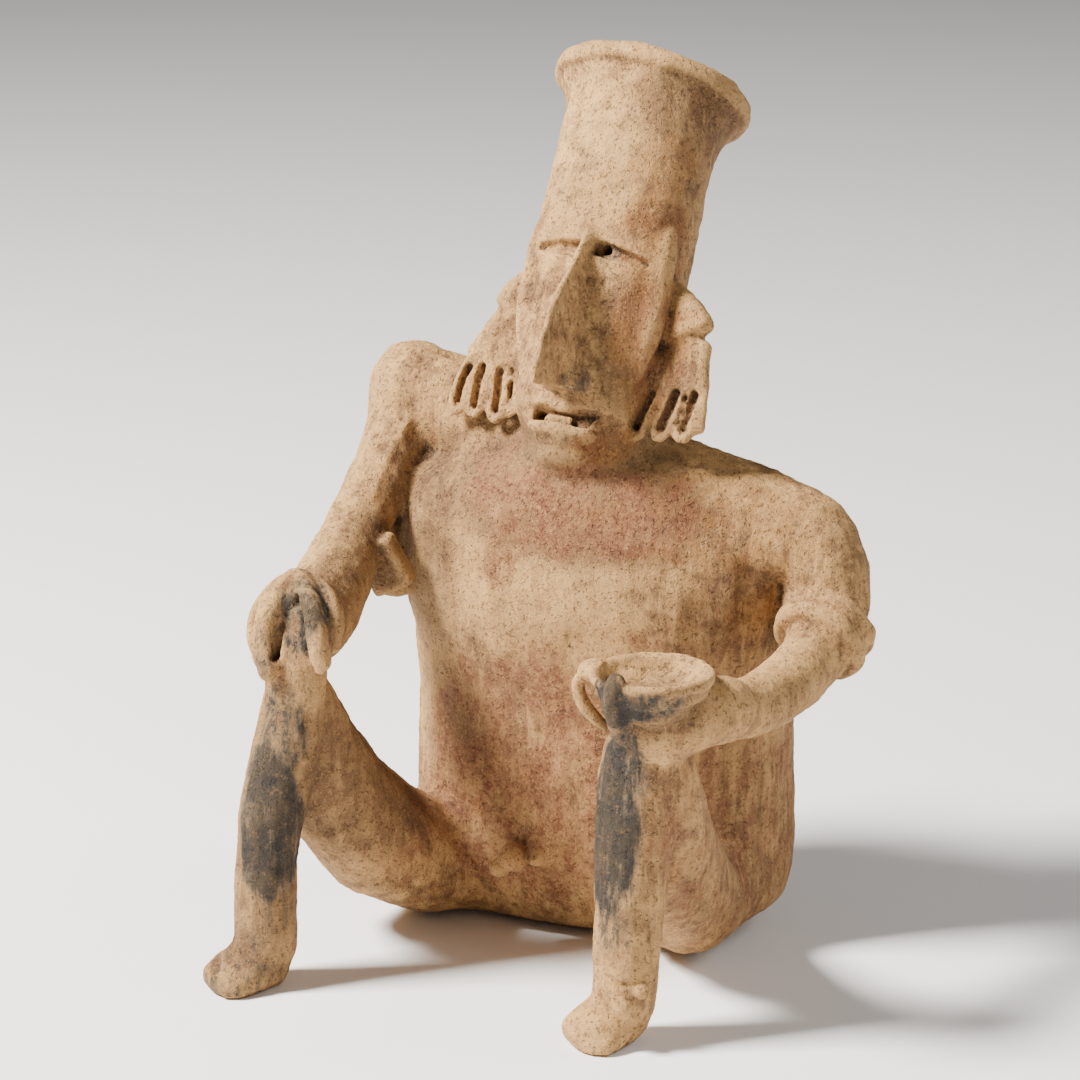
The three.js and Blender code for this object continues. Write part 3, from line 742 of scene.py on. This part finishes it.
pinched[:, 0] -= np.sign(off_middle) * spare * np.clip((FACE_FRONT - y) / FADE, 0, 1)
turn = np.array(HEAD)
pinched = (pinched @ turn[:3, :3].T + turn[:3, 3]) * UNIT + np.array(MARK)
body.data.vertices.foreach_set("co", pinched.ravel())
body.data.update()
on_ridge = near(face_points, (0, -40, 46), (14, 20, 46))
on_cap = near(face_points, (48, -6, 42), (10, 10, 9))
RIDGE_STROKES, CAP_STROKES = 5, 14
soften(body, RIDGE_STROKES, on_ridge)
soften(body, CAP_STROKES, on_cap)
print("pinched", int((spare > 0).sum()), "points")

# %% Cut, and melt in what stands in the cuts
cutter = clay_object(cuts, "cutter")
cutter = melt([cutter], "cutter", CUT_GRAIN)
carve = body.modifiers.new("carve", "BOOLEAN")
carve.object = cutter
carve.operation = "DIFFERENCE"
carve.solver = "MANIFOLD"
settle(body)
bpy.data.objects.remove(cutter)
GRAIN = 0.9
figure = melt([body, clay_object(late, "late")], "clay_figure", GRAIN)
soften(figure, LIGHT_STROKES)
print("figure reaches", *reach(figure), "in", len(figure.data.polygons), "faces")

# %% [markdown]
# ## The touch of the hand
# No hand-built wall is even. Broad dents come from fingers, long shallow strokes from the
# scraping and burnishing tool, and small pits from grit that fell out. Three procedural
# textures push the skin in and out by about a millimetre, one after the other. The strokes
# use an empty stretched upwards as their frame, so they run up and down the body.

# %% Dents, strokes and pits
def press(piece, name, size, depth, detail, frame_of=None):
    """
    Pushes the skin in and out by a cloudy texture. `size` is the width of its lumps and
    `depth` its full travel, in millimetres, and `detail` is the number of finer layers.
    """
    touch = bpy.data.textures.new(name, "CLOUDS")
    touch.noise_scale = size * UNIT
    touch.noise_depth = detail
    push = piece.modifiers.new(name, "DISPLACE")
    push.texture = touch
    push.strength = depth * UNIT
    push.mid_level = 0.5
    if frame_of is None:
        push.texture_coords = "LOCAL"
    else:
        push.texture_coords = "OBJECT"
        push.texture_coords_object = frame_of
    settle(piece)


STRETCH = 7  # how many times longer than wide a stroke is
upright = bpy.data.objects.new("upright_strokes", None)
bpy.context.collection.objects.link(upright)
upright.scale = (1, 1, STRETCH)
bpy.context.view_layer.update()
press(figure, "dents", size=19, depth=1.7, detail=1)
press(figure, "strokes", size=4.2, depth=0.65, detail=1, frame_of=upright)
press(figure, "grit", size=3, depth=0.6, detail=2)
bpy.data.objects.remove(upright)
print("pressed, it reaches", *reach(figure))

# %% [markdown]
# ## A lighter skin with flat soles
# The even skin has more faces than its form needs. Decimate collapses the least useful ones
# until the piece is down to the triangle count set below, and keeps the unevenness made above. The
# figure stood on a board while it was damp, so its seat and soles are flat: no point may lie below
# the ground, and those that do are lifted to it.

# %% Thin the skin
MOST_TRIANGLES = 190000
triangles = sum(len(p.vertices) - 2 for p in figure.data.polygons)
thin = figure.modifiers.new("thin", "DECIMATE")
thin.ratio = min(1, MOST_TRIANGLES / triangles)
thin.use_collapse_triangulate = True
settle(figure)
print("figure has", len(figure.data.polygons), "triangles, from", triangles)

# %% Flatten what stands on the ground
standing = np.empty(len(figure.data.vertices) * 3)
figure.data.vertices.foreach_get("co", standing)
standing = standing.reshape(-1, 3)
print("lowest point was", round(float(standing[:, 2].min()) * 1000, 2), "mm from the ground")
standing[:, 2] = np.maximum(standing[:, 2], MARK.z)
figure.data.vertices.foreach_set("co", standing.ravel())
figure.data.update()
figure.data.shade_smooth()

# %% [markdown]
# ## Reading the relief
# The colours paint shade into hollows and paint raised forms paler, partly as rubbed wear and
# partly as painted highlight. To let the colours follow the form, the skin is compared with a
# smoother copy of itself: a point that stands out from the copy is on an edge, and one that lies
# below it is in a hollow. The result is kept on the mesh as an attribute that the material can
# read.

# %% Edges and hollows
def shape_of(piece):
    """The places and outward directions of a piece's vertices."""
    count = len(piece.data.vertices)
    co, out = np.empty(count * 3), np.empty(count * 3)
    piece.data.vertices.foreach_get("co", co)
    piece.data.vertices.foreach_get("normal", out)
    return co.reshape(-1, 3), out.reshape(-1, 3)


def note(piece, name, values):
    """Keeps a number for each vertex under a name."""
    kept = piece.data.attributes.new(name, "FLOAT", "POINT")
    kept.data.foreach_set("value", np.asarray(values, dtype=np.float32))


def stands_out(piece, passes):
    """How far each vertex stands out from a smoother copy, in millimetres."""
    copy = bpy.data.objects.new("copy", piece.data.copy())
    bpy.context.collection.objects.link(copy)
    soften(copy, passes)
    smooth_place, _ = shape_of(copy)
    bpy.data.objects.remove(copy)
    place, out = shape_of(piece)
    return ((place - smooth_place) * out).sum(axis=1) / UNIT


fine, broad = stands_out(figure, 8), stands_out(figure, 60)
note(figure, "fine_relief", fine)
note(figure, "broad_relief", broad)
print("relief from", fine.min().round(2), "to", fine.max().round(2), "mm")

# %% [markdown]
# ## Writing a finish
# A material is a sum: this colour where that mask is high, and so on. The small class below
# wraps a socket so that such sums can be written in Python's own signs, and the recipe adds
# any other node by its type, its settings and its inputs.

# %% Wires and recipes
class Wire:
    """A socket that can be added, multiplied and compared as a number is."""

    def __init__(self, recipe, socket):
        self.recipe, self.socket = recipe, socket

    def sum_of(self, operation, a, b):
        return self.recipe.node("ShaderNodeMath", {"operation": operation}, {0: a, 1: b})

    def __add__(self, other):
        return self.sum_of("ADD", self, other)

    def __radd__(self, other):
        return self.sum_of("ADD", other, self)

    def __sub__(self, other):
        return self.sum_of("SUBTRACT", self, other)

    def __rsub__(self, other):
        return self.sum_of("SUBTRACT", other, self)

    def __mul__(self, other):
        return self.sum_of("MULTIPLY", self, other)

    def __rmul__(self, other):
        return self.sum_of("MULTIPLY", other, self)


class Recipe:
    """A material and the ways to add to it."""

    def __init__(self, name):
        self.material = bpy.data.materials.new(name)
        self.material.use_nodes = True
        self.tree = self.material.node_tree
        self.shader = self.tree.nodes["Principled BSDF"]
        seen = self.node("ShaderNodeTexCoord", output="Object")
        settings = {"vector_type": "POINT"}
        self.place = self.node(
            "ShaderNodeMapping", settings,
            {"Vector": seen, "Location": tuple(-MARK / UNIT), "Scale": (1 / UNIT,) * 3},
        )

    def node(self, kind, settings=None, inputs=None, output=0):
        """Adds a node: its type, its settings, then the values or links of its sockets."""
        made = self.tree.nodes.new(kind)
        for key, value in (settings or {}).items():
            setattr(made, key, value)
        for key, value in (inputs or {}).items():
            if isinstance(value, Wire):
                self.tree.links.new(value.socket, made.inputs[key])
            else:
                made.inputs[key].default_value = value
        return Wire(self, made.outputs[output])

    def feed(self, key, value):
        """Links a wire to the shader, or sets a plain value on it."""
        if isinstance(value, Wire):
            self.tree.links.new(value.socket, self.shader.inputs[key])
        else:
            self.shader.inputs[key].default_value = value

    def kept(self, name):
        """A number kept on the mesh under a name."""
        return self.node("ShaderNodeAttribute", {"attribute_name": name}, output="Fac")

    def vector(self, operation, a, b):
        """Vector maths."""
        return self.node("ShaderNodeVectorMath", {"operation": operation}, {0: a, 1: b})

    def noise(self, size, detail=4, rough=0.55, stretch=(1, 1, 1), shift=0.0):
        """Soft noise, 0 to 1, whose lumps are `size` millimetres wide."""
        scaled = self.vector("MULTIPLY", self.place, tuple(1 / (size * s) for s in stretch))
        moved = self.vector("ADD", scaled, (shift, shift * 1.7, shift * 0.6))
        return self.node(
            "ShaderNodeTexNoise", {},
            {"Vector": moved, "Scale": 1.0, "Detail": detail, "Roughness": rough},
        )

    def rise(self, value, low, high):
        """0 below the low value and 1 above the high one, or the other way round."""
        return self.node(
            "ShaderNodeMapRange", {"interpolation_type": "SMOOTHSTEP"},
            {"Value": value, "From Min": low, "From Max": high, "To Min": 0.0, "To Max": 1.0},
        )

    def mix(self, share, a, b):
        """The first colour where the share is 0, the second where it is 1."""
        return self.node(
            "ShaderNodeMix", {"data_type": "RGBA", "clamp_factor": True},
            {0: share, 6: a, 7: b}, 2,
        )


def tone(red, green, blue):
    """A colour as a paint chart gives it, 0 to 255, for the shader."""
    def linear(value):
        value /= 255
        return value / 12.92 if value <= 0.04045 else ((value + 0.055) / 1.055) ** 2.4
    return (linear(red), linear(green), linear(blue), 1.0)


# %% [markdown]
# ## Where the stains lie
# Slip, soil, smoke and wear all lie in known places on the real figure; the brown under the chin
# is partly painted shade, where the chin shades the chest. Each kind of stain is a list of
# egg-shaped places with a strength. Their sum is kept on the skin as an attribute, and the
# material only has to break up its edge with noise.

# %% Map of the stains
def on_head(x, y, z):
    """A point of the head's own frame, in millimetres from the mark."""
    return tuple(HEAD @ Vector((x, y, z)))


STAINS = {
    "ochre": [
        ((22, 4, 322), (13, 18, 12), 0.8), ((20, 0, 292), (11, 16, 20), 0.85),
        ((-6, 0, 306), (20, 16, 16), 0.5), ((-30, 10, 290), (12, 20, 22), 0.5),
        ((-14, 8, 300), (16, 16, 20), 0.35), ((24, -12, 254), (12, 16, 26), 0.95),
        ((14, -30, 214), (12, 12, 7), 1.0), ((52, -24, 186), (36, 24, 15), 0.75),
        ((108, -4, 178), (16, 26, 24), 0.4), ((92, -100, 128), (20, 20, 10), 0.35),
        ((-96, -134, 90), (10, 20, 40), 0.35), ((-40, -40, 60), (24, 20, 16), 0.5),
        ((-88, -30, 205), (20, 24, 24), 0.45), ((60, -130, 30), (18, 24, 18), 0.4),
    ],
    "slip": [
        ((6, -38, 188), (40, 22, 14), 1.0), ((-30, -36, 184), (16, 18, 26), 0.7),
        ((-14, -38, 74), (46, 18, 42), 0.85), ((-4, -38, 106), (50, 18, 22), 0.6),
        ((10, -42, 44), (34, 20, 24), 0.85), ((30, -36, 100), (30, 20, 34), 0.6),
        ((-66, -44, 48), (28, 34, 24), 0.55),
        ((-92, -128, 112), (12, 18, 26), 0.6), ((84, -30, 60), (26, 60, 50), 0.6),
        ((76, -96, 84), (12, 20, 44), 0.7),
    ],
    "brown_and_shade": [
        # The first two places lie under the chin: a brown stain, and painted shade where the chin
        # shades the chest.
        ((2, -36, 194), (48, 30, 22), 1.0), ((4, -38, 190), (34, 20, 16), 1.0),
        ((24, -18, 244), (13, 16, 36), 0.7), ((-4, -30, 78), (62, 40, 56), 0.4),
        ((-90, -60, 150), (8, 14, 20), 0.6), ((70, -20, 146), (24, 26, 20), 0.45),
        ((44, -38, 150), (30, 16, 16), 0.35), ((-70, -60, 170), (16, 60, 40), 0.8),
        ((-76, -40, 152), (16, 20, 20), 0.9), ((31, 40, 345), (24, 40, 16), 0.8),
        ((36, 30, 300), (16, 30, 50), 0.5),
        ((78, -128, 142), (20, 16, 10), 0.8), ((-96, -145, 12), (30, 26, 26), 1.0),
        ((80, -30, 40), (30, 60, 50), 0.35), ((-62, -84, 84), (32, 46, 30), 1.0),
        ((-90, -138, 76), (18, 14, 52), 1.0), ((-80, -110, 120), (30, 40, 14), 0.5),
    ],
    "fire": [
        ((-87, -135, 72), (9, 15, 26), 1.0), ((-82, -130, 110), (8, 12, 14), 0.7),
        ((-88, -138, 36), (9, 14, 14), 0.5), ((60, -130, 90), (10, 14, 28), 1.0),
        ((62, -130, 114), (12, 13, 14), 0.85), ((62, -131, 58), (10, 12, 16), 0.5),
        ((66, -139, 144), (6, 8, 14), 1.0),
        ((82, -138, 143), (14, 9, 6), 0.7), ((-92, -131, 146), (6, 9, 14), 0.6),
        ((-76, -124, 156), (9, 10, 14), 0.75), ((-84, -112, 167), (12, 10, 7), 0.45),
        (on_head(8, -32, 15), (5, 8, 5), 0.55),
        ((-100, -148, 6), (20, 24, 8), 0.45), (on_head(7, -24, 70), (5, 5, 4), 0.5),
    ],
    "crust": [
        ((-82, -128, 126), (13, 14, 8), 1.0), ((-78, -124, 146), (6, 10, 12), 0.5),
        ((72, -124, 122), (12, 14, 7), 0.6), ((-98, -146, 16), (12, 14, 10), 0.3),
    ],
    "pale": [
        ((-20, -34, 176), (26, 20, 30), 0.9), ((-66, -26, 112), (14, 24, 46), 0.8),
        ((-8, -40, 148), (36, 20, 22), 0.8),
        ((62, -22, 206), (40, 22, 12), 0.9), ((-12, 8, 320), (22, 26, 34), 0.8),
        ((0, -10, 290), (30, 20, 8), 0.6), ((94, -80, 142), (24, 40, 8), 0.7),
        ((-98, -50, 190), (10, 50, 34), 0.6), ((74, -118, 150), (18, 18, 6), 0.8),
        ((60, -134, 18), (14, 16, 14), 0.6),
    ],
}
at = places(figure)
for name, spots in STAINS.items():
    amount = np.zeros(len(at))
    for centre, half, strength in spots:
        amount = np.maximum(amount, strength * near(at, centre, half, 0.8))
    note(figure, name, amount)
print("stains:", ", ".join(STAINS))

# %% [markdown]
# ## The colours of the clay
# The body fired to a warm buff, and burnishing left it paler where the tool pressed. Under
# the dirt it is mottled brown, and flecked with rust and cream. Remnants of a red slip lie on
# the chest, the belly and the thighs, and ochre stains come from the soil. The fire left
# streaky grey clouds on both shins, on the right hand and in front of the bowl. Every layer is
# laid over the last one, broad ones first.

# %% Base of the clay
CREAM, BUFF, TAN = tone(208, 165, 106), tone(168, 127, 81), tone(118, 85, 55)
BROWN, OCHRE, RUST = tone(76, 54, 37), tone(148, 100, 52), tone(110, 66, 38)
SLIP, PINK, SOOT = tone(104, 60, 40), tone(146, 98, 66), tone(22, 22, 20)
# The darkest colour serves both the specks of dirt and the painted shade in fine creases.
ASH, DIRT_AND_SHADE, CRUST = tone(66, 66, 61), tone(36, 26, 18), tone(146, 116, 72)

fired = Recipe("fired_clay")
clouds = fired.noise(26, 4, 0.6)
mottle = fired.noise(8, 5, 0.65, shift=3.1)
streaks = fired.noise(3.2, 3, 0.6, (1, 1, 8), shift=7.7)
flaky = fired.noise(3.4, 5, 0.75, shift=9.4)
patches = fired.noise(13, 6, 0.62, (1, 1, 1.6), shift=5.2)
grain = fired.noise(0.9, 3, 0.75, shift=1.3)
flecks = fired.noise(4.4, 6, 0.72, shift=12.3)
specks = fired.noise(1.7, 2, 0.6, shift=8.8)


def stain(name, noise, rag=1.6, low=0.45, high=0.85):
    """A stain's mask: its attribute, with an edge broken up by noise."""
    amount = fired.kept(name)
    return fired.rise(amount + (noise - 0.5) * rag, low, high) * fired.rise(amount, 0.02, 0.5)


colour = fired.mix(fired.rise(clouds, 0.36, 0.6), TAN, BUFF)
colour = fired.mix(fired.rise(mottle, 0.46, 0.66) * 0.65, colour, CREAM)
colour = fired.mix(fired.rise(flaky, 0.5, 0.64) * 0.6, colour, TAN)
colour = fired.mix(fired.rise(mottle, 0.46, 0.32) * 0.6, colour, BROWN)
colour = fired.mix(fired.rise(streaks, 0.52, 0.7) * 0.45, colour, CREAM)
colour = fired.mix(fired.rise(streaks, 0.47, 0.32) * 0.5, colour, BROWN)
colour = fired.mix(fired.rise(flecks, 0.58, 0.68) * 0.35, colour, RUST)
colour = fired.mix(fired.rise(flecks, 0.4, 0.32) * 0.3, colour, CREAM)
print("masks of the clay ready")

# %% Stains, painted shade under the chin, slip and fire clouds
colour = fired.mix(stain("pale", mottle, 1.4, 0.25, 1.0) * 0.55, colour, CREAM)
# Brown stains; under the chin this brown is also painted shade.
colour = fired.mix(stain("brown_and_shade", mottle, 1.8, 0.25, 1.1) * 0.7, colour, BROWN)
colour = fired.mix(stain("ochre", mottle, 2.4, 0.4, 1.1) * 0.6, colour, OCHRE)
colour = fired.mix(stain("ochre", patches, 3.0, 0.6, 1.2) * 0.65, colour, RUST)
colour = fired.mix(stain("slip", patches, 2.6, 0.3, 1.1) * 0.6, colour, PINK)
thick_slip = stain("slip", patches, 3.2, 0.5, 1.2) * fired.rise(flaky, 0.42, 0.56)
colour = fired.mix(thick_slip * 0.75, colour, SLIP)
scorch = (patches + streaks) * 0.5
smoke = stain("fire", scorch, 2.6, 0.3, 0.9)
burnt = stain("fire", scorch, 3.0, 0.55, 0.95)
colour = fired.mix(smoke * 0.85, colour, ASH)
colour = fired.mix(burnt * 0.9, colour, SOOT)
colour = fired.mix(smoke * fired.rise(flaky, 0.56, 0.66) * 0.5, colour, TAN)
colour = fired.mix(stain("crust", flaky, 3.0, 0.7, 1.2) * 0.5, colour, CRUST)

# %% Wear and painted highlight, painted shade, dirt and grain
fine_relief = fired.kept("fine_relief")
broad_relief = fired.kept("broad_relief")
# Raised forms are made paler: partly rubbed wear, partly painted highlight.
worn_and_highlit = fired.rise(broad_relief + (flaky - 0.5) * 0.9, 0.3, 1.3) * (1 - smoke * 0.8)
# Painted shade: broad hollows are made browner.
deep = fired.rise(broad_relief + (flaky - 0.5) * 0.8, -0.5, -2.0)
# Painted shade: fine creases are made nearly black.
crease_shade = fired.rise(fine_relief + (grain - 0.5) * 0.2, -0.14, -0.5)
colour = fired.mix(worn_and_highlit * 0.4, colour, CREAM)
colour = fired.mix(deep * 0.5, colour, BROWN)
colour = fired.mix(crease_shade * 0.7, colour, DIRT_AND_SHADE)
# Dark specks of dirt.
colour = fired.mix(fired.rise(specks, 0.6, 0.7) * 0.35, colour, DIRT_AND_SHADE)
colour = fired.mix(fired.rise(grain, 0.54, 0.68) * 0.35 * (1 - smoke * 0.7), colour, CREAM)
colour = fired.mix(fired.rise(grain, 0.47, 0.33) * 0.4, colour, BROWN)

# %% Feed the shader
RELIEF_DEPTH = 0.0015  # metres
fired.feed("Base Color", colour)
fired.feed("Roughness", 0.7 + mottle * 0.28 - smoke * 0.16)
raised = fired.rise(flecks, 0.4, 0.3) * 0.35
pitted = fired.rise(specks, 0.58, 0.7) * 0.45
height = streaks * 0.35 + grain * 0.4 + flaky * 0.5 - pitted + raised
bump = fired.node(
    "ShaderNodeBump", {}, {"Strength": 1.0, "Distance": RELIEF_DEPTH, "Height": height},
    "Normal",
)
fired.feed("Normal", bump)
fired.feed("Specular IOR Level", 0.3)
figure.data.materials.clear()
figure.data.materials.append(fired.material)
print("finish has", len(fired.tree.nodes), "nodes")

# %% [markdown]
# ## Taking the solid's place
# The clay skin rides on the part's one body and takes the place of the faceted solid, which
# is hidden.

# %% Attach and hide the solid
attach(figure, "root")
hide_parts("seated_figure")
